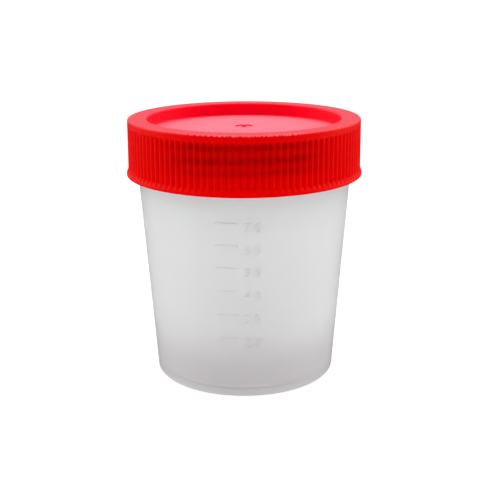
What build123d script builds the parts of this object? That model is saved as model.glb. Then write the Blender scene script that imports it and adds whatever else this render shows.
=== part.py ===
from build123d import *
import math
import os

# Specimen container: a tapered, graduated cup closed by a ribbed screw lid with a plug seal.
# Both are single mouldings in polypropylene, the cup natural and the lid red.
#
# Frame, in millimetres: the cup stands on z = 0 with its axis on +Z and the lid screwed home.
# The graduations face -Y, and the two nesting fins inside the cup stand at -X and +X.

# ---- Driving sizes ----------------------------------------------------------------------

# Cup body
BASE_DIAMETER = 45.06       # outside, where the side would meet the table
BODY_DIAMETER = 52.6        # outside, at the top of the tapered side
BODY_HEIGHT = 52.0          # table to the top of the tapered side
BODY_WALL = 1.1             # measured square to the side
BASE_CHAMFER = 0.9          # outside, between side and base
FLOOR_CORNER = 0.9          # inside chamfer between side and floor
FLOOR_THICKNESS = 0.85
RECESS_DEPTH = 1.1          # hollow under the base, which leaves a foot ring to stand on
FOOT_RING_WIDTH = 3.03      # outside of the base to the edge of the recess
RECESS_DRAFT = 0.4          # how far the recess closes in over its depth
GATE_NUB_DIAMETER = 2.0     # moulding gate under the base
GATE_NUB_HEIGHT = 0.25

# Neck, as wide as the top of the side. The ridges of the screw thread are left out of the
# solids, which keep their room.
CUP_HEIGHT = 62.9           # table to the rim
RIM_CHAMFER = 0.25          # both edges of the rim
THREAD_DEPTH = 0.75         # room for the ridge of the thread, out from the neck

# Nesting fins, which keep stacked empty cups from jamming
FIN_THICKNESS = 1.0
FIN_PROUD = 1.75            # inner edge of a fin, in from the bore of the neck
FIN_BOTTOM = 41.1           # table to the lower end of the inner edge
FIN_TOP = 56.6              # table to the upper end of the inner edge
FIN_END_SLOPE = 45.0        # degrees, both ends

# Graduations, raised on the front
MARK_FIRST = 20             # millilitres
MARK_STEP = 10
MARK_COUNT = 6
MARK_LENGTH = 4.9           # round the cup
MARK_SIDE = 1.65            # from the middle of the front to the near end of a mark
MARK_WIDTH = 0.45           # up the cup
MARK_RELIEF = 0.2

# Lid
LID_HEIGHT = 13.75
RING_THICKNESS = 1.3        # flat ring over the rim of the cup
SKIRT_WALL = 0.9            # bore to the bottom of the grooves between ribs
RIB_DEPTH = 0.4
RIB_COUNT = 112
RIB_SHARE = 0.66            # of each rib's pitch that the rib fills at its foot
RIB_CREST_SHARE = 0.24      # of each rib's pitch that its flat crest fills
BAND_HEIGHT = 1.2           # plain band above the ribs
BAND_PROUD = 0.04           # beyond the crests of the ribs
BEAD_PROUD = 0.5            # bead round the bottom edge, beyond the crests of the ribs
BEAD_HEIGHT = 1.65          # bottom edge up to the feet of the ribs
BEAD_FLARE = 0.8            # height of the slope from the ribs out to the bead
BEAD_CHAMFER = 0.5          # bottom edge of the bead
TOP_CHAMFER = 0.4           # outer edge of the top
SKIRT_LEAD = 0.4            # chamfer at the mouth of the skirt
RECESS_EDGE_CHAMFER = 0.25
PANEL_DEPTH = 3.25          # top of the ring down to the outside of the sunk panel
PANEL_RISE = 0.95           # outside of the panel up to the rim of its dimple
PANEL_THICKNESS = 1.2
PANEL_CHAMFER = 0.4         # between the panel and the wall round it
PLUG_DEPTH = 4.2            # rim of the cup down to the end of the plug
PLUG_WALL = 1.4
PLUG_LEAD = 0.5             # chamfer at the end of the plug
DIMPLE_DIAMETER = 4.6       # round the moulding gate in the middle of the panel
DIMPLE_DEPTH = 0.3
GATE_DIAMETER = 1.2
GATE_HEIGHT = 0.72          # from the floor of the dimple
GATE_FOOT_DIAMETER = 1.8    # cone at the foot of the gate
GATE_FOOT_HEIGHT = 0.3

# Fits
THREAD_CLEARANCE = 0.15     # crest of the thread to the bore of the skirt
PLUG_CLEARANCE = 0.1        # plug to the bore of the neck

# How far joined features reach into each other
SINK = 0.2

# ---- Sizes that follow ------------------------------------------------------------------

base_radius = BASE_DIAMETER / 2
body_radius = BODY_DIAMETER / 2
taper = (body_radius - base_radius) / BODY_HEIGHT
flat_wall = BODY_WALL * math.sqrt(1 + taper**2)     # the wall measured level
floor_level = RECESS_DEPTH + FLOOR_THICKNESS
mouth_radius = body_radius - flat_wall

lid_top = CUP_HEIGHT + RING_THICKNESS
lid_bottom = lid_top - LID_HEIGHT
panel_top = lid_top - PANEL_DEPTH
panel_middle = panel_top + PANEL_RISE
plug_end = CUP_HEIGHT - PLUG_DEPTH
plug_radius = mouth_radius - PLUG_CLEARANCE
recess_radius = plug_radius - PLUG_WALL
bore_radius = body_radius + THREAD_DEPTH + THREAD_CLEARANCE
groove_radius = bore_radius + SKIRT_WALL
rib_radius = groove_radius + RIB_DEPTH
band_radius = rib_radius + BAND_PROUD
bead_radius = rib_radius + BEAD_PROUD
core_radius = groove_radius - SINK
bead_top = lid_bottom + BEAD_HEIGHT
band_bottom = lid_top - BAND_HEIGHT


def outer_radius(level):
    """Outside of the tapered side at a height above the table."""
    return base_radius + taper * level


def inner_radius(level):
    """Inside of the tapered side at a height above the table."""
    return outer_radius(level) - flat_wall


def polar(radius, degrees):
    """Point on a circle round the axis."""
    angle = math.radians(degrees)
    return (radius * math.cos(angle), radius * math.sin(angle))


def turned(*corners):
    """Solid of revolution about Z from corners given as radius and height."""
    outline = Polyline(*corners, close=True)
    return revolve(make_face(Plane.XZ * outline), Axis.Z)


# ---- Cup --------------------------------------------------------------------------------


def cup_shell():
    """Floor, tapered side and neck, turned in one piece."""
    nub_radius = GATE_NUB_DIAMETER / 2
    nub_level = RECESS_DEPTH - GATE_NUB_HEIGHT
    recess_outer = base_radius - FOOT_RING_WIDTH
    corner_level = floor_level + FLOOR_CORNER
    return turned(
        (0, nub_level),
        (nub_radius, nub_level),
        (nub_radius, RECESS_DEPTH),
        (recess_outer - RECESS_DRAFT, RECESS_DEPTH),
        (recess_outer, 0),
        (base_radius - BASE_CHAMFER, 0),
        (outer_radius(BASE_CHAMFER), BASE_CHAMFER),
        (body_radius, BODY_HEIGHT),
        (body_radius, CUP_HEIGHT - RIM_CHAMFER),
        (body_radius - RIM_CHAMFER, CUP_HEIGHT),
        (mouth_radius + RIM_CHAMFER, CUP_HEIGHT),
        (mouth_radius, CUP_HEIGHT - RIM_CHAMFER),
        (mouth_radius, BODY_HEIGHT),
        (inner_radius(corner_level), corner_level),
        (inner_radius(floor_level) - FLOOR_CORNER, floor_level),
        (0, floor_level),
    )


def nesting_fin():
    """Upright fin on the inside of the side at +X, with sloped ends."""
    edge = mouth_radius - FIN_PROUD
    slope = math.tan(math.radians(FIN_END_SLOPE))
    into_wall = inner_radius(FIN_BOTTOM) + SINK
    into_neck = mouth_radius + SINK
    outline = Polyline(
        (edge, FIN_BOTTOM),
        (edge, FIN_TOP),
        (into_neck, FIN_TOP + slope * (into_neck - edge)),
        (into_neck, BODY_HEIGHT),
        (into_wall, FIN_BOTTOM - slope * (into_wall - edge)),
        close=True,
    )
    return extrude(make_face(Plane.XZ * outline), amount=FIN_THICKNESS / 2, both=True)


def mark_level(millilitres):
    """Height at which the cup holds a volume, from the cone of its inside."""
    floor_cube = inner_radius(floor_level) ** 3
    level_cube = floor_cube + 3 * taper * 1000 * millilitres / math.pi
    return (level_cube ** (1 / 3) - inner_radius(0)) / taper


def graduation(level):
    """Raised bar that runs round the side, left of the middle of the front."""
    low = level - MARK_WIDTH / 2
    high = level + MARK_WIDTH / 2
    section = make_face(
        Plane.XZ
        * Polyline(
            (outer_radius(low) - SINK, low),
            (outer_radius(low) + MARK_RELIEF, low),
            (outer_radius(high) + MARK_RELIEF, high),
            (outer_radius(high) - SINK, high),
            close=True,
        )
    )
    near_end = math.degrees(MARK_SIDE / outer_radius(level))
    span = math.degrees(MARK_LENGTH / outer_radius(level))
    bar = revolve(section, Axis.Z, revolution_arc=span)
    return Rot(0, 0, -90 - near_end - span) * bar


def make_cup():
    cup = cup_shell()
    for turn in (0, 180):
        cup += Rot(0, 0, turn) * nesting_fin()
    for index in range(MARK_COUNT):
        cup += graduation(mark_level(MARK_FIRST + MARK_STEP * index))
    return cup


# ---- Lid --------------------------------------------------------------------------------


def lid_shell():
    """Ring, sunk panel, hollow plug and skirt, turned in one piece without the ribs."""
    gate_radius = GATE_DIAMETER / 2
    dimple_radius = DIMPLE_DIAMETER / 2
    dimple_floor = panel_middle - DIMPLE_DEPTH
    return turned(
        (0, dimple_floor + GATE_HEIGHT),
        (gate_radius, dimple_floor + GATE_HEIGHT),
        (gate_radius, dimple_floor + GATE_FOOT_HEIGHT),
        (GATE_FOOT_DIAMETER / 2, dimple_floor),
        (dimple_radius, dimple_floor),
        (dimple_radius, panel_middle),
        (recess_radius - PANEL_CHAMFER, panel_top),
        (recess_radius, panel_top + PANEL_CHAMFER),
        (recess_radius, lid_top - RECESS_EDGE_CHAMFER),
        (recess_radius + RECESS_EDGE_CHAMFER, lid_top),
        (band_radius - TOP_CHAMFER, lid_top),
        (band_radius, lid_top - TOP_CHAMFER),
        (band_radius, band_bottom),
        (core_radius, band_bottom),
        (core_radius, bead_top),
        (rib_radius, bead_top),
        (bead_radius, bead_top - BEAD_FLARE),
        (bead_radius, lid_bottom + BEAD_CHAMFER),
        (bead_radius - BEAD_CHAMFER, lid_bottom),
        (bore_radius + SKIRT_LEAD, lid_bottom),
        (bore_radius, lid_bottom + SKIRT_LEAD),
        (bore_radius, CUP_HEIGHT),
        (plug_radius, CUP_HEIGHT),
        (plug_radius, plug_end + PLUG_LEAD),
        (plug_radius - PLUG_LEAD, plug_end),
        (recess_radius, plug_end),
        (recess_radius, panel_top - PANEL_THICKNESS),
        (0, panel_middle - PANEL_THICKNESS),
    )


def grip_ribs():
    """Ring of upright ribs with sloped flanks, between the bead and the plain band."""
    pitch = 360 / RIB_COUNT
    half_foot = pitch * RIB_SHARE / 2
    half_crest = pitch * RIB_CREST_SHARE / 2
    corners = []
    for index in range(RIB_COUNT):
        middle = index * pitch
        corners.append(polar(groove_radius, middle - half_foot))
        corners.append(polar(rib_radius, middle - half_crest))
        corners.append(polar(rib_radius, middle + half_crest))
        corners.append(polar(groove_radius, middle + half_foot))
    section = make_face(Polyline(*corners, close=True)) - Circle(core_radius - SINK)
    low = bead_top - SINK
    high = band_bottom + SINK
    return Pos(0, 0, low) * extrude(section, amount=high - low)


def make_lid():
    return lid_shell() + grip_ribs()


# ---- Output -----------------------------------------------------------------------------

os.makedirs("parts", exist_ok=True)
export_step(make_cup(), "parts/cup.step")
export_step(make_lid(), "parts/lid.step")
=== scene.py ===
import math

import bmesh
import bpy
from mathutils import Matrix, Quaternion, Vector


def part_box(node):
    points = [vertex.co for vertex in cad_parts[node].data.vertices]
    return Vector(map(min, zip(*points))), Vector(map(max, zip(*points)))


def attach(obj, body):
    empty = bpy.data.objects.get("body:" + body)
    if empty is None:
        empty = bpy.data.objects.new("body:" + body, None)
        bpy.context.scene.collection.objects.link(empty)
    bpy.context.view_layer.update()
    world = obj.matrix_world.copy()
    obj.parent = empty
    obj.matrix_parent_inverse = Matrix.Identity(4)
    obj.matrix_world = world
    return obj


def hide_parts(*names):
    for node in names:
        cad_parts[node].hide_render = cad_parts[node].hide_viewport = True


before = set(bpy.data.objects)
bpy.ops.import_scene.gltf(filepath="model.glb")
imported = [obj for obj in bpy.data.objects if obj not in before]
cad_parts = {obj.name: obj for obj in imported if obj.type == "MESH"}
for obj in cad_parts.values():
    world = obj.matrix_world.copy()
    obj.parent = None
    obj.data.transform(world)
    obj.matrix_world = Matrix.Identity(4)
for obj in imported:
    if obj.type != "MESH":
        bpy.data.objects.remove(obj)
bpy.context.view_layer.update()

# A specimen container: a milky graduated cup under a ribbed red screw lid, on a pale floor.
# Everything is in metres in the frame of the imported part: +Z up, the graduations face -Y.
# Sizes below are written in millimetres and multiplied by MM, and angles are in degrees.

MM = 0.001

cup_low, cup_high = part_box("cup")
lid_low, lid_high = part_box("lid")

# ---- Sizes ------------------------------------------------------------------------------

rim_level = cup_high.z
body_radius = cup_high.x
lid_top = lid_high.z
lid_bottom = lid_low.z
bead_radius = lid_high.x

# Cup
BASE_RADIUS = 22.53 * MM        # tapered side, at the table
BODY_HEIGHT = 52.0 * MM
BODY_WALL = 1.1 * MM
BASE_ROUND = 0.7 * MM
FLOOR_THICKNESS = 0.85 * MM
FLOOR_ROUND = 1.2 * MM
RECESS_DEPTH = 1.1 * MM
RECESS_ROUND = 0.3 * MM
RECESS_DRAFT = 0.4 * MM
FOOT_RING_WIDTH = 3.03 * MM
FOOT_RING_ROUND = 0.2 * MM
NUB_RADIUS = 1.0 * MM           # moulding gate under the base
NUB_HEIGHT = 0.25 * MM
NUB_ROUND = 0.1 * MM
RIM_ROUND = 0.25 * MM
FIN_PROUD = 1.75 * MM           # inner edge of a nesting fin, in from the bore of the neck
FIN_BOTTOM = 41.1 * MM
FIN_TOP = 56.6 * MM
FIN_HALF_ANGLE = 1.0
FIN_EDGE_ANGLE = 0.25
CUP_STEP = 2                    # angle between the cup's columns of points

# Graduations and their numbers
MARKS = (20, 30, 40, 50, 60, 70)    # millilitres
CUBIC_MM_IN_ML = 1000
MARK_WIDTH = 0.38 * MM
MARK_EDGE = 0.05 * MM
MARK_EDGE_ANGLE = 0.12
MARK_RELIEF = 0.2 * MM
MARK_ANGLES = (3.9, 15.5)       # left of the middle of the front
NUMBER_START = 0.0 * MM         # right of the middle of the front
NUMBER_HEIGHT = 2.25 * MM
NUMBER_SPACING = 1.5
NUMBER_RELIEF = 0.18 * MM
NUMBER_SINK = 0.03 * MM
NUMBER_CURVE_STEPS = 4

# Screw thread
THREAD_PITCH = 3.0 * MM
THREAD_DEPTH = 0.75 * MM
THREAD_CLEARANCE = 0.15 * MM
THREAD_ROOT = 1.5 * MM          # width of a ridge at its root
THREAD_CREST = 0.6 * MM
THREAD_SINK = 0.1               # of its depth, into the wall that it stands on
THREAD_FADE = 14                # angle over which a ridge rises from its ends
THREAD_LEAST_RISE = 0.02        # of its depth, at its ends
THREAD_STEP = 4                 # angle between a ridge's sections
NECK_THREAD_LOW = 54.3 * MM
NECK_THREAD_ANGLES = (-60, 696)
LID_THREAD_BELOW_TOP = 2.75 * MM    # top turn of the lid's ridge, where it passes -Y
LID_THREAD_ANGLES = (-880, -70)

# Lid
SKIRT_WALL = 0.9 * MM
SKIRT_LEAD = 0.4 * MM
SKIRT_LEAD_ROUND = 0.1 * MM
RIB_COUNT = 112
RIB_COLUMNS = 8                 # columns of points to a rib
RIB_DEPTH = 0.37 * MM
RIB_DRAFT = 0.08 * MM           # how much deeper the ribs are at their feet
RIB_POWER = 0.8                 # of a cosine wave, which makes a crest wider than a groove
BAND_HEIGHT = 1.2 * MM          # plain band above the ribs
BAND_FADE = 0.7 * MM            # height over which the grooves run out into the band
BAND_CHAMFER = 0.2              # of that height
BEAD_HEIGHT = 1.75 * MM
BEAD_WIDEST = 0.7 * MM          # height of the bead's widest part above the bottom edge
BEAD_ROUND = 0.35 * MM
TOP_ROUND = 0.45 * MM
RECESS_EDGE_ROUND = 0.5 * MM
PANEL_DEPTH = 3.25 * MM         # at the outside of the panel
PANEL_RISE = 0.95 * MM          # of the crowned panel towards its middle
PANEL_THICKNESS = 1.2 * MM
PANEL_CORNER = 0.5 * MM
PLUG_DEPTH = 4.2 * MM
PLUG_WALL = 1.4 * MM
PLUG_LEAD = 0.5 * MM
PLUG_CLEARANCE = 0.1 * MM
DIMPLE_RADIUS = 2.3 * MM
DIMPLE_DEPTH = 0.3 * MM
GATE_RADIUS = 0.6 * MM
GATE_HEIGHT = 0.72 * MM
GATE_ROUND = 0.2 * MM
GATE_FOOT_RADIUS = 0.9 * MM
GATE_FOOT_HEIGHT = 0.3 * MM

SKIRT_FINISH_DEPTH = 0.1 * MM   # how far inside its surface a face still has its finish
PANEL_FINISH_DEPTH = 1.5 * DIMPLE_DEPTH
RIBBED_SLOT = 1                 # places of the materials on the lid, after the satin one
MATT_SLOT = 2

# Meshes
ON_SURFACE = 0.01 * MM          # how near to a surface a point counts as on it
ON_ANGLE = 0.01
ON_AXIS = 1e-9
SHARP_ANGLE = 28                # between faces that meet in a sharp edge
NUMBER_SHARP_ANGLE = 40
FACE_WEIGHT = 80                # of large faces in the smooth shading

taper = (body_radius - BASE_RADIUS) / BODY_HEIGHT
flat_wall = BODY_WALL * math.sqrt(1 + taper**2)     # the wall measured level
floor_level = RECESS_DEPTH + FLOOR_THICKNESS
mouth_radius = body_radius - flat_wall
bore_radius = body_radius + THREAD_DEPTH + THREAD_CLEARANCE
groove_radius = bore_radius + SKIRT_WALL
rib_radius = groove_radius + RIB_DEPTH
plug_radius = mouth_radius - PLUG_CLEARANCE
recess_radius = plug_radius - PLUG_WALL
panel_top = lid_top - PANEL_DEPTH
plug_end = rim_level - PLUG_DEPTH
bead_top = lid_bottom + BEAD_HEIGHT
band_bottom = lid_top - BAND_HEIGHT
lid_thread_front = lid_top - LID_THREAD_BELOW_TOP

# ---- Looks ------------------------------------------------------------------------------

# Colours are linear. A pair of heights or radii is where a change starts and where it ends.
PLASTIC_IOR = 1.49
BUMP_DEPTH = 0.02 * MM
NOISE_MIDDLE = (0.3, 0.7)       # the part of a noise's range that is used

# Cup
MILKY_WALL = ((0.96, 0.96, 0.96, 1), (0.985, 0.985, 0.985, 1))
MILKY_UPPER = (0.975, 0.983, 0.983, 1)
# Painted light: lighter and less red just under the lid, against the shadow and red light that the
# lid casts on the cup.
MILKY_LIT_UNDER_LID = (0.95, 1.0, 1.0, 1)
# Painted shade, tinged pink with the lid's red light: darker low down, where the shaded floor shows
# through the wall, and darker still at the foot.
MILKY_LOW_SHADE = (0.82, 0.797, 0.807, 1)
MILKY_FOOT_SHADE = (0.72, 0.697, 0.707, 1)
# Painted shade: the fins grey, for the dark lines that they make through the frosted wall.
MILKY_FIN_SHADE = (0.45, 0.45, 0.45, 1)
UPPER_LEVELS = (26.0 * MM, 42.0 * MM)
LIT_UNDER_LID_LEVELS = (42.0 * MM, 48.0 * MM)
LOW_SHADE_LEVELS = (4.0 * MM, 19.0 * MM)
FOOT_SHADE_LEVELS = (0.5 * MM, 4.5 * MM)
FIN_WIDTHS = (0.6 * MM, 0.9 * MM)       # from the plane of the fins
FIN_LEVELS = (FIN_BOTTOM - 3.5 * MM, FIN_BOTTOM - 3.0 * MM)
FIN_RADII = (mouth_radius - 0.3 * MM, mouth_radius - 0.1 * MM)
MILKY_ROUGHNESS = (0.28, 0.36)
MILKY_TRANSMISSION = 0.45
MILKY_CLOUDS = 55.0             # a noise's scale, as the other sizes of noise below
MILKY_FLOW = 9.0
MILKY_FLOW_PER_METRE = 12.0
MILKY_GRAIN = 900.0
MILKY_BUMP = 0.4

# All the satin reds
RED_GRAIN = 1600.0
RED_BUMP = 0.5
RED_SUBSURFACE = 0.15
RED_SUBSURFACE_RADIUS = (1.0, 0.1, 0.1)
RED_SUBSURFACE_SCALE = 1.2 * MM

# Lid's ring and inside
RING_ROUGHNESS = (0.36, 0.44)
RING_SPECULAR = 0.42
RING_TINT = (1.0, 0.03, 0.1, 1)
# Painted shade: the top of the ring a darker red than the skirt, against the strong light from
# above.
RING_SHADED_COLOURS = ((0.52, 0.002, 0.017, 1), (0.55, 0.003, 0.020, 1))
RING_CLOUDS = 90.0
# Less painted shade on the turned-down outer edge, between the ring's top and the skirt.
TURNED_DOWN_SHADED_COLOUR = (0.66, 0.0, 0.006, 1)
TURNED_DOWN_RADII = (rib_radius - 1.2 * MM, rib_radius - 0.2 * MM)
# Painted light: the recess wall, and the faces within its radius, a brighter red for light bounced
# off the panel and let through the red.
RECESS_LIT_COLOUR = (0.88, 0.0, 0.02, 1)
RECESS_RADII = (recess_radius + 0.05 * MM, recess_radius + 0.2 * MM)
# Painted highlight: pale glints in dashes along the outer top edge, strongest at the front.
PAINTED_GLINT_COLOUR = (0.95, 0.42, 0.46, 1)
PAINTED_GLINT_SCALE = 96.0
PAINTED_GLINT_NOISE = (0.48, 0.64)
PAINTED_GLINT_RADII = (rib_radius - 0.40 * MM, rib_radius - 0.25 * MM)
PAINTED_GLINT_LEVELS = (lid_top - 0.35 * MM, lid_top - 0.2 * MM)
PAINTED_GLINT_FACING = (0.84, 0.96)
PAINTED_GLINT_SHARE = (0.05, 0.40)      # away from the front, and at the front

# Skirt
SKIRT_ROUGHNESS = (0.42, 0.50)
SKIRT_SPECULAR = 0.12
SKIRT_TINT = (1.0, 0.0, 0.0, 1)
SKIRT_COLOUR = (0.75, 0.0, 0.0, 1)
# Painted shade: dark helical bands where the thread inside shows through the skirt, strongest at
# the front.
SKIRT_SHADE = (0.35, 0.0, 0.0, 1)
# Painted shade in the bottoms of the grooves between the ribs.
GROOVE_SHADE_COLOUR = (0.40, 0.0, 0.0, 1)
GROOVE_SHADE_SHARE = 0.18
GROOVE_RADII = (groove_radius + 0.02 * MM, groove_radius + 0.14 * MM)
TURN_AT_FRONT = 0.25            # turn of the helix between +X and -Y
HALF_A_TURN = 0.5
RIDGE_HALF_WIDTHS = (0.05, 0.42)    # in turns of the thread
THREAD_SHADE_LOW = (lid_bottom + 2.5 * MM, lid_bottom + 7.0 * MM)
THREAD_SHADE_HIGH = (lid_top - 2.5 * MM, lid_top - 1.3 * MM)
STREAK_SCALE = 20.0
STREAKS_PER_METRE = 40.0
STREAK_SHARE = (0.5, 1.1)
RIDGE_FACING = (0.78, 0.95)
RIDGE_SHARE = (0.08, 0.50)
# Painted shade: the front of the skirt darker than its sides.
FRONT_SHADE_FACING = (0.60, 0.95)
FRONT_SHADE_SHARE = (0.02, 0.42)

# Sunk panel
# The panel's red with random tone, plus a little green and blue: painted reflection of the pale
# light at a low angle.
PANEL_COLOURS_AND_REFLECTION = ((0.76, 0.02, 0.06, 1), (0.82, 0.03, 0.08, 1))
PANEL_CLOUDS = 120.0
PANEL_GRAIN = 2500.0
PANEL_ROUGHNESS = (0.50, 0.60)
PANEL_TINT = (1.0, 0.1, 0.15, 1)
PANEL_SHEEN = 0.5
PANEL_SHEEN_ROUGHNESS = 0.4
PANEL_SHEEN_TINT = (1.0, 0.95, 1.0, 1)
PANEL_BUMP = 0.6

# Light from each direction. A pair is a range of the direction's Y, or of its Z.
FRONT_LIGHT = 0.2
SIDE_LIGHT = 1.2
BACK_LIGHT = 0.5
TOP_LIGHT = 2.3
BELOW_LIGHT = 0.1
FRONT_TO_SIDE = (-0.75, 0.0)
SIDE_TO_BACK = (0.3, 0.85)
SIDE_TO_TOP = (0.35, 0.85)
TOP_FRONT_TO_BACK = (-0.5, 0.2)
TOP_FRONT_SHARE = 0.3
HORIZON = (-0.02, 0.02)
FLOOR_SIZE = 12
FLOOR_GLOW = 0.7
FLOOR_COLOUR = 0.35
BACKDROP_RADIUS = 3

# Camera
CAMERA_PLACE = Vector((0, -232.77, 98.94)) * MM
CAMERA_AIM = Vector((0, 0, 30.14)) * MM
CAMERA_ROLL = -0.0048           # radians
CAMERA_SENSOR = 36.0            # millimetres, as is the lens
CAMERA_LENS = 68.64
CAMERA_SHIFT = 5.35 / 500       # of the picture's width
CAMERA_CLIP = (0.01, 100)

# ---- Geometry helpers -------------------------------------------------------------------


def rounded(corners, steps=6):
    """Closed outline of (radius, height) points from corners with a fillet each."""
    count = len(corners)
    outline = []
    for index, (radius, level, fillet) in enumerate(corners):
        here = Vector((radius, level))
        if fillet == 0:
            outline.append(here)
            continue
        before = (Vector(corners[index - 1][:2]) - here).normalized()
        after = (Vector(corners[(index + 1) % count][:2]) - here).normalized()
        half = before.angle(after) / 2
        centre = here + (before + after).normalized() * fillet / math.sin(half)
        start = here + before * fillet / math.tan(half) - centre
        end = here + after * fillet / math.tan(half) - centre
        sweep = start.angle_signed(end)
        for step in range(steps + 1):
            turn = -sweep * step / steps
            across = start.x * math.cos(turn) - start.y * math.sin(turn)
            up = start.x * math.sin(turn) + start.y * math.cos(turn)
            outline.append(centre + Vector((across, up)))
    return outline


def polar(radius, degrees, level):
    """Point on a circle round the axis."""
    angle = math.radians(degrees)
    return (radius * math.cos(angle), radius * math.sin(angle), level)


def even_angles(count):
    return [360 * index / count for index in range(count)]


def finish_mesh(name, mesh, material, sharp=SHARP_ANGLE):
    """Object from a mesh, smooth but for edges sharper than an angle in degrees."""
    mesh.validate()
    mesh.shade_smooth()
    mesh.set_sharp_from_angle(angle=math.radians(sharp))
    mesh.materials.append(material)
    piece = bpy.data.objects.new(name, mesh)
    bpy.context.scene.collection.objects.link(piece)
    weighted = piece.modifiers.new("even_faces", "WEIGHTED_NORMAL")
    weighted.keep_sharp = True
    weighted.weight = FACE_WEIGHT
    return piece


def finish_shape(name, shape, material):
    """Object from a closed bmesh, with its faces turned outwards."""
    bmesh.ops.recalc_face_normals(shape, faces=shape.faces)
    mesh = bpy.data.meshes.new(name)
    shape.to_mesh(mesh)
    shape.free()
    return finish_mesh(name, mesh, material)


def turned(name, material, outline, angles, shift):
    """Solid of revolution with a column of points at each angle; shift(angle, radius, level)
    moves a point out."""
    shape = bmesh.new()
    rows = []
    for radius, level in outline:
        if radius < ON_AXIS:
            rows.append([shape.verts.new((0, 0, level))])
            continue
        row = []
        for angle in angles:
            reach = radius + shift(angle, radius, level)
            row.append(shape.verts.new(polar(reach, angle, level)))
        rows.append(row)
    for lower, upper in zip(rows, rows[1:] + rows[:1]):
        if len(lower) == 1 and len(upper) == 1:
            continue
        for index in range(len(angles)):
            after = (index + 1) % len(angles)
            corners = [lower[index % len(lower)], lower[after % len(lower)],
                       upper[after % len(upper)], upper[index % len(upper)]]
            shape.faces.new(list(dict.fromkeys(corners)))
    return finish_shape(name, shape, material)


def helix_ridge(name, material, wall_radius, crest_radius, angles, level_at):
    """Ridge of a screw thread, with a trapezium section, that rises from the wall at both ends."""
    shape = bmesh.new()
    first, last = angles
    count = round((last - first) / THREAD_STEP)
    rings = []
    for index in range(count + 1):
        angle = first + (last - first) * index / count
        rise = min(1.0, (angle - first) / THREAD_FADE, (last - angle) / THREAD_FADE)
        crest = wall_radius + (crest_radius - wall_radius) * max(rise, THREAD_LEAST_RISE)
        root = wall_radius - (crest_radius - wall_radius) * THREAD_SINK
        level = level_at(angle)
        ring = [shape.verts.new(polar(radius, angle, level + up)) for radius, up in (
            (root, -THREAD_ROOT / 2), (crest, -THREAD_CREST / 2),
            (crest, THREAD_CREST / 2), (root, THREAD_ROOT / 2))]
        rings.append(ring)
    for here, after in zip(rings, rings[1:]):
        for side in range(4):
            other = (side + 1) % 4
            shape.faces.new([here[side], here[other], after[other], after[side]])
    shape.faces.new(rings[0])
    shape.faces.new(rings[-1])
    return finish_shape(name, shape, material)


# ---- Materials --------------------------------------------------------------------------


class Nodes:
    """Short calls for building a node tree."""

    def __init__(self, tree):
        self.tree = tree

    def add(self, kind, **settings):
        node = self.tree.nodes.new(kind)
        for key, value in settings.items():
            setattr(node, key, value)
        return node

    def feed(self, socket, value):
        if isinstance(value, bpy.types.NodeSocket):
            self.tree.links.new(value, socket)
        else:
            socket.default_value = value

    def coordinates_and_axes(self, kind):
        """Coordinates of a kind, with their x, y and z."""
        coordinates = self.add("ShaderNodeTexCoord").outputs[kind]
        split = self.add("ShaderNodeSeparateXYZ")
        self.feed(split.inputs[0], coordinates)
        return coordinates, *split.outputs

    def math(self, operation, *values):
        node = self.add("ShaderNodeMath", operation=operation)
        for socket, value in zip(node.inputs, values):
            self.feed(socket, value)
        return node.outputs[0]

    def times(self, first, *others):
        for other in others:
            first = self.math("MULTIPLY", first, other)
        return first

    def step(self, value, ends, results=(0.0, 1.0)):
        """Smooth step of value between two ends, onto two results."""
        node = self.add("ShaderNodeMapRange", interpolation_type="SMOOTHSTEP")
        for socket, item in zip(node.inputs, (value, *ends, *results)):
            self.feed(socket, item)
        return node.outputs[0]

    def down(self, value, ends):
        """Smooth step from one down to nothing."""
        return self.step(value, ends, (1.0, 0.0))

    def vector(self, x, y, z):
        node = self.add("ShaderNodeCombineXYZ")
        for socket, value in zip(node.inputs, (x, y, z)):
            self.feed(socket, value)
        return node.outputs[0]

    def noise(self, vector, scale, detail=2.0):
        node = self.add("ShaderNodeTexNoise")
        for name, value in (("Vector", vector), ("Scale", scale), ("Detail", detail)):
            self.feed(node.inputs[name], value)
        return node.outputs["Fac"]

    def mix(self, share, first, second):
        node = self.add("ShaderNodeMix", data_type="RGBA")
        self.feed(node.inputs["Factor"], share)
        for socket, value in zip([s for s in node.inputs if s.type == "RGBA"], (first, second)):
            self.feed(socket, value)
        return [s for s in node.outputs if s.type == "RGBA"][0]


class Plastic(Nodes):
    """A material's nodes, with the place of a point: its coordinates, radius and angle."""

    def __init__(self, name):
        self.material = bpy.data.materials.new(name)
        self.material.use_nodes = True
        super().__init__(self.material.node_tree)
        self.shader = self.tree.nodes["Principled BSDF"]
        self.shader.inputs["IOR"].default_value = PLASTIC_IOR
        self.coordinates, x, self.y, self.z = self.coordinates_and_axes("Object")
        self.radius = self.math("SQRT", self.math("ADD", self.times(x, x),
                                                  self.times(self.y, self.y)))
        self.angle = self.math("ARCTAN2", self.y, x)

    def surface(self, name, value):
        self.feed(self.shader.inputs[name], value)

    def facing(self):
        """One where the side faces the front, nothing at the left and right."""
        return self.math("DIVIDE", self.times(self.y, -1.0), self.radius)

    def round_axis(self, up):
        """Coordinates that run round the axis at one radius, and up."""
        return self.vector(self.math("COSINE", self.angle), self.math("SINE", self.angle), up)

    def bump(self, height, strength):
        node = self.add("ShaderNodeBump")
        for name, value in (("Height", height), ("Distance", BUMP_DEPTH),
                            ("Strength", strength)):
            self.feed(node.inputs[name], value)
        self.surface("Normal", node.outputs[0])


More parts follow.
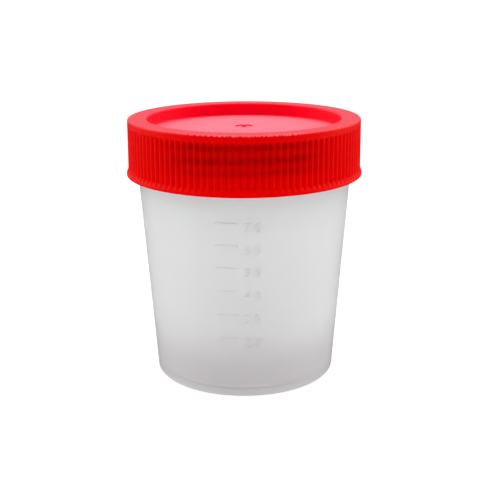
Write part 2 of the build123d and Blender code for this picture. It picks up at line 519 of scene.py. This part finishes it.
def milky_plastic():
    """Natural polypropylene: frosted, slightly uneven, clear enough to show what touches it; with
    painted light under the lid and painted shade low down and on the fins.
    """
    m = Plastic("milky_polypropylene")
    cloud = m.noise(m.coordinates, MILKY_CLOUDS, detail=3.0)
    wall = m.mix(cloud, *MILKY_WALL)
    upper = m.mix(m.step(m.z, UPPER_LEVELS), wall, MILKY_UPPER)
    # Painted light under the lid.
    lit_under_lid = m.mix(m.step(m.z, LIT_UNDER_LID_LEVELS), upper, MILKY_LIT_UNDER_LID)
    # Painted shade low down and at the foot.
    low = m.mix(m.down(m.z, LOW_SHADE_LEVELS), lit_under_lid, MILKY_LOW_SHADE)
    side = m.mix(m.down(m.z, FOOT_SHADE_LEVELS), low, MILKY_FOOT_SHADE)
    # Painted shade on the fins.
    fin = m.times(m.down(m.math("ABSOLUTE", m.y), FIN_WIDTHS), m.step(m.z, FIN_LEVELS),
                  m.down(m.radius, FIN_RADII))
    m.surface("Base Color", m.mix(fin, side, MILKY_FIN_SHADE))
    flow = m.noise(m.round_axis(m.times(m.z, MILKY_FLOW_PER_METRE)), MILKY_FLOW, detail=3.0)
    m.surface("Roughness", m.step(flow, NOISE_MIDDLE, MILKY_ROUGHNESS))
    m.surface("Transmission Weight", MILKY_TRANSMISSION)
    m.bump(m.noise(m.coordinates, MILKY_GRAIN), MILKY_BUMP)
    return m.material


def red_plastic(name, roughness, specular, tint):
    """Start of a red polypropylene, which lets a little light through its surface."""
    m = Plastic(name)
    grain = m.noise(m.coordinates, RED_GRAIN)
    m.surface("Roughness", m.step(grain, NOISE_MIDDLE, roughness))
    m.shader.inputs["Specular IOR Level"].default_value = specular
    m.surface("Specular Tint", tint)
    m.surface("Subsurface Weight", RED_SUBSURFACE)
    m.surface("Subsurface Radius", RED_SUBSURFACE_RADIUS)
    m.surface("Subsurface Scale", RED_SUBSURFACE_SCALE)
    m.bump(grain, RED_BUMP)
    return m


def ring_plastic():
    """Satin red of the lid's ring and inside: painted shade on the ring's top, painted light in the
    recess, painted glints along the outer edge.
    """
    m = red_plastic("red_polypropylene", RING_ROUGHNESS, RING_SPECULAR, RING_TINT)
    cloud = m.noise(m.coordinates, RING_CLOUDS, detail=3.0)
    # Painted shade on the top of the ring.
    ring = m.mix(cloud, *RING_SHADED_COLOURS)
    # Painted light in the recess and inside.
    recess_lit = m.mix(m.down(m.radius, RECESS_RADII), ring, RECESS_LIT_COLOUR)
    # Less painted shade on the turned-down outer edge.
    colour = m.mix(m.step(m.radius, TURNED_DOWN_RADII), recess_lit, TURNED_DOWN_SHADED_COLOUR)
    # Painted highlight: glints along the outer top edge, mostly at the front.
    glint_dashes = m.step(m.noise(m.round_axis(0.0), PAINTED_GLINT_SCALE, detail=0.0), PAINTED_GLINT_NOISE)
    at_edge = m.times(m.step(m.radius, PAINTED_GLINT_RADII), m.step(m.z, PAINTED_GLINT_LEVELS))
    painted_glints = m.times(glint_dashes, at_edge, m.step(m.facing(), PAINTED_GLINT_FACING, PAINTED_GLINT_SHARE))
    m.surface("Base Color", m.mix(painted_glints, colour, PAINTED_GLINT_COLOUR))
    return m.material


def skirt_plastic():
    """Satin red of the ribbed skirt, with painted shade: dark bands along the thread inside, a
    darker front and darker grooves.
    """
    m = red_plastic("red_polypropylene_skirt", SKIRT_ROUGHNESS, SKIRT_SPECULAR, SKIRT_TINT)
    facing = m.facing()
    turns = m.math("DIVIDE", m.angle, 2 * math.pi)
    lift = m.math("DIVIDE", m.math("SUBTRACT", m.z, lid_thread_front), THREAD_PITCH)
    phase = m.math("SUBTRACT", m.math("SUBTRACT", lift, turns), TURN_AT_FRONT)
    # Painted shade along the thread inside, broken by streaks and strongest at the front.
    ridge = m.down(m.math("PINGPONG", phase, HALF_A_TURN), RIDGE_HALF_WIDTHS)
    streaks = m.noise(m.round_axis(m.times(m.z, STREAKS_PER_METRE)), STREAK_SCALE, detail=4.0)
    ridge = m.times(ridge, m.step(streaks, NOISE_MIDDLE, STREAK_SHARE),
                    m.step(facing, RIDGE_FACING, RIDGE_SHARE))
    # Painted shade on the front of the skirt.
    front_shade = m.step(facing, FRONT_SHADE_FACING, FRONT_SHADE_SHARE)
    in_thread = m.times(m.step(m.z, THREAD_SHADE_LOW), m.down(m.z, THREAD_SHADE_HIGH))
    shade = m.times(in_thread, m.math("ADD", front_shade, ridge))
    plain = m.mix(shade, SKIRT_COLOUR, SKIRT_SHADE)
    # Painted shade in the grooves.
    groove_shade = m.step(m.radius, GROOVE_RADII, (GROOVE_SHADE_SHARE, 0.0))
    m.surface("Base Color", m.mix(groove_shade, plain, GROOVE_SHADE_COLOUR))
    return m.material


def panel_plastic():
    """The same red with the fine eroded finish of the sunk panel, pale at a low angle, with a
    painted pink reflection in its colour.
    """
    m = Plastic("red_polypropylene_matt")
    cloud = m.noise(m.coordinates, PANEL_CLOUDS, detail=3.0)
    # Red with a painted reflection.
    m.surface("Base Color", m.mix(cloud, *PANEL_COLOURS_AND_REFLECTION))
    grain = m.noise(m.coordinates, PANEL_GRAIN)
    m.surface("Roughness", m.step(grain, NOISE_MIDDLE, PANEL_ROUGHNESS))
    m.surface("Specular Tint", PANEL_TINT)
    m.shader.inputs["Sheen Weight"].default_value = PANEL_SHEEN
    m.shader.inputs["Sheen Roughness"].default_value = PANEL_SHEEN_ROUGHNESS
    m.shader.inputs["Sheen Tint"].default_value = PANEL_SHEEN_TINT
    m.bump(grain, PANEL_BUMP)
    return m.material


# ---- Cup --------------------------------------------------------------------------------


def outer_radius(level):
    return BASE_RADIUS + taper * level


def inner_radius(level):
    return outer_radius(level) - flat_wall


def mark_level(millilitres):
    """Height at which the cup holds a volume, from the cone of its inside."""
    volume = millilitres * CUBIC_MM_IN_ML * MM**3
    cube = inner_radius(floor_level) ** 3 + 3 * taper * volume / math.pi
    return (cube ** (1 / 3) - inner_radius(0)) / taper


mark_levels = [mark_level(millilitres) for millilitres in MARKS]


def cup_detail(angle, radius, level):
    """Raises the graduations on the outside and the two nesting fins on the inside."""
    if abs(radius - outer_radius(level)) < ON_SURFACE:
        turn = -90 - angle
        nearest = min(abs(level - mark) for mark in mark_levels)
        if MARK_ANGLES[0] <= turn <= MARK_ANGLES[1] and nearest < MARK_WIDTH / 2 + MARK_EDGE / 2:
            return MARK_RELIEF
        return 0.0
    wall = mouth_radius if level > BODY_HEIGHT else inner_radius(level)
    from_fin = min(abs(angle), abs(180 - abs(angle)))
    if abs(radius - wall) > ON_SURFACE or from_fin > FIN_HALF_ANGLE + ON_ANGLE:
        return 0.0
    edge = mouth_radius - FIN_PROUD + max(0.0, FIN_BOTTOM - level, level - FIN_TOP)
    return min(0.0, edge - wall)


def cup_outline():
    """Section of the cup with rows of points where the graduations and fins begin and end."""
    marks = []
    for level in mark_levels:
        for height in (-MARK_WIDTH / 2 - MARK_EDGE, -MARK_WIDTH / 2, MARK_WIDTH / 2,
                       MARK_WIDTH / 2 + MARK_EDGE):
            marks.append((outer_radius(level + height), level + height, 0))
    fin_top_end = FIN_TOP + FIN_PROUD
    fin_foot = FIN_BOTTOM - (inner_radius(FIN_BOTTOM) - mouth_radius + FIN_PROUD)
    return rounded([
        (0, RECESS_DEPTH - NUB_HEIGHT, 0),
        (NUB_RADIUS, RECESS_DEPTH - NUB_HEIGHT, NUB_ROUND),
        (NUB_RADIUS, RECESS_DEPTH, 0),
        (BASE_RADIUS - FOOT_RING_WIDTH - RECESS_DRAFT, RECESS_DEPTH, RECESS_ROUND),
        (BASE_RADIUS - FOOT_RING_WIDTH, 0, FOOT_RING_ROUND),
        (BASE_RADIUS, 0, BASE_ROUND),
        *marks,
        (body_radius, BODY_HEIGHT, 0),
        (body_radius, rim_level, RIM_ROUND),
        (mouth_radius, rim_level, RIM_ROUND),
        (mouth_radius, fin_top_end, 0),
        (mouth_radius, FIN_TOP, 0),
        (mouth_radius, BODY_HEIGHT, 0),
        (inner_radius(FIN_BOTTOM), FIN_BOTTOM, 0),
        (inner_radius(fin_foot), fin_foot, 0),
        (inner_radius(floor_level), floor_level, FLOOR_ROUND),
        (0, floor_level, 0),
    ])


def cup_angles():
    """Even columns of points, with more at the ends of the graduations and the fins."""
    angles = set(range(-180, 180, CUP_STEP))
    for turn in (MARK_ANGLES[0] - MARK_EDGE_ANGLE, *MARK_ANGLES,
                 MARK_ANGLES[1] + MARK_EDGE_ANGLE):
        angles.add(-90 - turn)
    for middle in (0, -180):
        for side in (-FIN_HALF_ANGLE - FIN_EDGE_ANGLE, -FIN_HALF_ANGLE, FIN_HALF_ANGLE,
                     FIN_HALF_ANGLE + FIN_EDGE_ANGLE):
            angle = middle + side
            angles.add(angle + 360 if angle < -180 else angle)
    return sorted(angles)


def make_cup(material):
    cup = turned("graduated_cup", material, cup_outline(), cup_angles(), cup_detail)
    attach(cup, "cup")
    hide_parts("cup")


def number_mesh(text):
    """Flat mesh of a number, NUMBER_HEIGHT high and as thick as its relief, from its lower left."""
    curve = bpy.data.curves.new(text, "FONT")
    curve.body = text
    curve.space_character = NUMBER_SPACING
    curve.resolution_u = NUMBER_CURVE_STEPS
    curve.extrude = 0.1         # scaled below to the thickness wanted
    holder = bpy.data.objects.new(text, curve)
    bpy.context.scene.collection.objects.link(holder)
    shaped = holder.evaluated_get(bpy.context.evaluated_depsgraph_get())
    mesh = bpy.data.meshes.new_from_object(shaped)
    bpy.data.objects.remove(holder)
    low = [min(vertex.co[axis] for vertex in mesh.vertices) for axis in range(3)]
    high = [max(vertex.co[axis] for vertex in mesh.vertices) for axis in range(3)]
    scale = NUMBER_HEIGHT / (high[1] - low[1])
    thickness = (NUMBER_RELIEF + NUMBER_SINK) / (high[2] - low[2])
    for vertex in mesh.vertices:
        x, y, z = vertex.co
        vertex.co = ((x - low[0]) * scale, (y - low[1]) * scale, (z - low[2]) * thickness)
    return mesh


def make_numbers(material):
    """Raised numbers right of the graduations, bent round the side of the cup."""
    points = []
    faces = []
    for millilitres, level in zip(MARKS, mark_levels):
        mesh = number_mesh(str(millilitres))
        first = len(points)
        base = level + MARK_WIDTH / 2 - NUMBER_HEIGHT
        for vertex in mesh.vertices:
            across, up, out = vertex.co
            wall = outer_radius(base + up)
            turn = math.degrees((NUMBER_START + across) / wall)
            points.append(polar(wall - NUMBER_SINK + out, -90 + turn, base + up))
        faces += [[first + index for index in polygon.vertices] for polygon in mesh.polygons]
    mesh = bpy.data.meshes.new("graduation_numbers")
    mesh.from_pydata(points, [], faces)
    numbers = finish_mesh("graduation_numbers", mesh, material, NUMBER_SHARP_ANGLE)
    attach(numbers, "cup")


def make_neck_thread(material):
    def level_at(angle):
        return NECK_THREAD_LOW + THREAD_PITCH * (angle - NECK_THREAD_ANGLES[0]) / 360

    thread = helix_ridge("neck_thread", material, body_radius, body_radius + THREAD_DEPTH,
                         NECK_THREAD_ANGLES, level_at)
    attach(thread, "cup")


# ---- Lid --------------------------------------------------------------------------------


def rib_height(angle, radius, level):
    """Adds a rounded rib to the skirt's outer wall, fading out into the plain band above."""
    if abs(radius - groove_radius) > ON_SURFACE or level < bead_top - ON_SURFACE:
        return 0.0
    crest = (0.5 + 0.5 * math.cos(math.radians(angle * RIB_COUNT))) ** RIB_POWER
    down = (band_bottom - level) / (band_bottom - bead_top)
    fade = (level - (band_bottom - BAND_FADE)) / BAND_FADE
    fade = min(max(fade, 0.0), 1.0)
    fade = fade * fade * (3 - 2 * fade)
    return RIB_DEPTH * (crest + (1 - crest) * fade) + RIB_DRAFT * down * crest


def panel_level(radius):
    """Level of the crowned panel's top."""
    return panel_top + PANEL_RISE * (1 - (radius / recess_radius) ** 2)


def crown(first, last, drop, steps=10):
    """Points along the panel's top, or along its underside where drop is its thickness."""
    radii = [first + (last - first) * step / steps for step in range(1, steps)]
    return [(radius, panel_level(radius) - drop, 0) for radius in radii]


def lid_outline():
    """Section of the lid, with the skirt's outer wall at the bottom of the grooves."""
    dimple_floor = panel_level(DIMPLE_RADIUS) - DIMPLE_DEPTH
    fade_rows = [(groove_radius, band_bottom - BAND_FADE * share, 0)
                 for share in (0.0, 0.25, 0.5, 0.75, 1.0)]
    return rounded([
        (0, dimple_floor + GATE_HEIGHT, 0),
        (GATE_RADIUS, dimple_floor + GATE_HEIGHT, GATE_ROUND),
        (GATE_RADIUS, dimple_floor + GATE_FOOT_HEIGHT, 0),
        (GATE_FOOT_RADIUS, dimple_floor, 0),
        (DIMPLE_RADIUS, dimple_floor, 0),
        (DIMPLE_RADIUS, panel_level(DIMPLE_RADIUS), 0),
        *crown(DIMPLE_RADIUS, recess_radius, 0),
        (recess_radius, panel_top, PANEL_CORNER),
        (recess_radius, lid_top, RECESS_EDGE_ROUND),
        (rib_radius, lid_top, TOP_ROUND),
        (rib_radius, band_bottom + BAND_FADE * BAND_CHAMFER, 0),
        *fade_rows,
        (groove_radius, bead_top, 0),
        (bead_radius, lid_bottom + BEAD_WIDEST, BEAD_ROUND),
        (bead_radius, lid_bottom, BEAD_ROUND),
        (bore_radius + SKIRT_LEAD, lid_bottom, SKIRT_LEAD_ROUND),
        (bore_radius, lid_bottom + SKIRT_LEAD, SKIRT_LEAD_ROUND),
        (bore_radius, rim_level, 0),
        (plug_radius, rim_level, 0),
        (plug_radius, plug_end + PLUG_LEAD, 0),
        (plug_radius - PLUG_LEAD, plug_end, 0),
        (recess_radius, plug_end, 0),
        (recess_radius, panel_top - PANEL_THICKNESS, 0),
        *crown(recess_radius, 0, PANEL_THICKNESS),
        (0, panel_level(0) - PANEL_THICKNESS, 0),
    ])


def make_lid(satin, ribbed, matt):
    """The lid in one piece, with its own finish on the ribbed skirt and on the sunk panel."""
    lid = turned("screw_lid", satin, lid_outline(), even_angles(RIB_COUNT * RIB_COLUMNS),
                 rib_height)
    for material in (ribbed, matt):
        lid.data.materials.append(material)
    skirt_from = groove_radius - SKIRT_FINISH_DEPTH
    panel_to = recess_radius - PANEL_CORNER * 0.5
    for polygon in lid.data.polygons:
        reach = math.hypot(polygon.center.x, polygon.center.y)
        level = polygon.center.z
        if reach > skirt_from and level < lid_top - TOP_ROUND:
            polygon.material_index = RIBBED_SLOT
        elif reach < panel_to and level > panel_level(reach) - PANEL_FINISH_DEPTH:
            polygon.material_index = MATT_SLOT
    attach(lid, "lid")
    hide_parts("lid")


def make_lid_thread(material):
    def level_at(angle):
        return lid_thread_front + THREAD_PITCH * (angle + 90) / 360

    thread = helix_ridge("lid_thread", material, bore_radius, bore_radius - THREAD_DEPTH,
                         LID_THREAD_ANGLES, level_at)
    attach(thread, "lid")


# ---- Stage, light and camera ------------------------------------------------------------


def glowing(name, colour, glow):
    material = bpy.data.materials.new(name)
    material.use_nodes = True
    shader = material.node_tree.nodes["Principled BSDF"]
    shader.inputs["Base Color"].default_value = (colour, colour, colour, 1)
    shader.inputs["Roughness"].default_value = 1.0
    shader.inputs["Specular IOR Level"].default_value = 0.0
    shader.inputs["Emission Color"].default_value = (1, 1, 1, 1)
    shader.inputs["Emission Strength"].default_value = glow
    return material


def make_floor():
    bpy.ops.mesh.primitive_plane_add(size=FLOOR_SIZE, location=(0, 0, 0))
    floor = bpy.context.object
    floor.name = "floor"
    floor.data.materials.append(glowing("pale_floor", FLOOR_COLOUR, FLOOR_GLOW))
    floor.visible_glossy = False


def make_backdrop():
    """White all round, seen by the camera and through the cup but lighting nothing."""
    bpy.ops.mesh.primitive_ico_sphere_add(subdivisions=4, radius=BACKDROP_RADIUS)
    backdrop = bpy.context.object
    backdrop.name = "backdrop"
    backdrop.data.materials.append(glowing("white_backdrop", 0.0, 1.0))
    backdrop.visible_diffuse = False
    backdrop.visible_glossy = False
    backdrop.visible_shadow = False


def make_world():
    """Soft white room, darker on the side that the camera is on and below the floor."""
    world = bpy.data.worlds.new("studio")
    bpy.context.scene.world = world
    world.use_nodes = True
    w = Nodes(world.node_tree)
    background = w.tree.nodes["Background"]
    y, z = w.coordinates_and_axes("Generated")[2:]
    beside = w.step(y, FRONT_TO_SIDE, (FRONT_LIGHT, SIDE_LIGHT))
    behind = w.step(y, SIDE_TO_BACK, (0.0, BACK_LIGHT - SIDE_LIGHT))
    above = w.times(w.step(z, SIDE_TO_TOP, (0.0, TOP_LIGHT)),
                    w.step(y, TOP_FRONT_TO_BACK, (TOP_FRONT_SHARE, 1.0)))
    around = w.math("ADD", w.math("ADD", beside, behind), above)
    strength = w.times(around, w.step(z, HORIZON, (BELOW_LIGHT, 1.0)))
    w.feed(background.inputs["Strength"], strength)
    w.feed(background.inputs["Color"], (1, 1, 1, 1))


def make_camera():
    """Looks at the axis of the cup, which stands a little left of the picture's middle."""
    data = bpy.data.cameras.new("camera")
    camera = bpy.data.objects.new("camera", data)
    bpy.context.scene.collection.objects.link(camera)
    camera.location = CAMERA_PLACE
    camera.rotation_mode = "QUATERNION"
    turn = (CAMERA_AIM - CAMERA_PLACE).to_track_quat("-Z", "Y")
    camera.rotation_quaternion = turn @ Quaternion((0, 0, 1), CAMERA_ROLL)
    data.sensor_width = CAMERA_SENSOR
    data.lens = CAMERA_LENS
    data.shift_x = CAMERA_SHIFT
    data.clip_start, data.clip_end = CAMERA_CLIP
    bpy.context.scene.camera = camera


make_floor()
make_backdrop()
make_world()
make_camera()
bpy.context.scene.view_settings.view_transform = "Standard"

red = ring_plastic()
make_lid(red, skirt_plastic(), panel_plastic())
make_lid_thread(red)
milky = milky_plastic()
make_cup(milky)
make_numbers(milky)
make_neck_thread(milky)
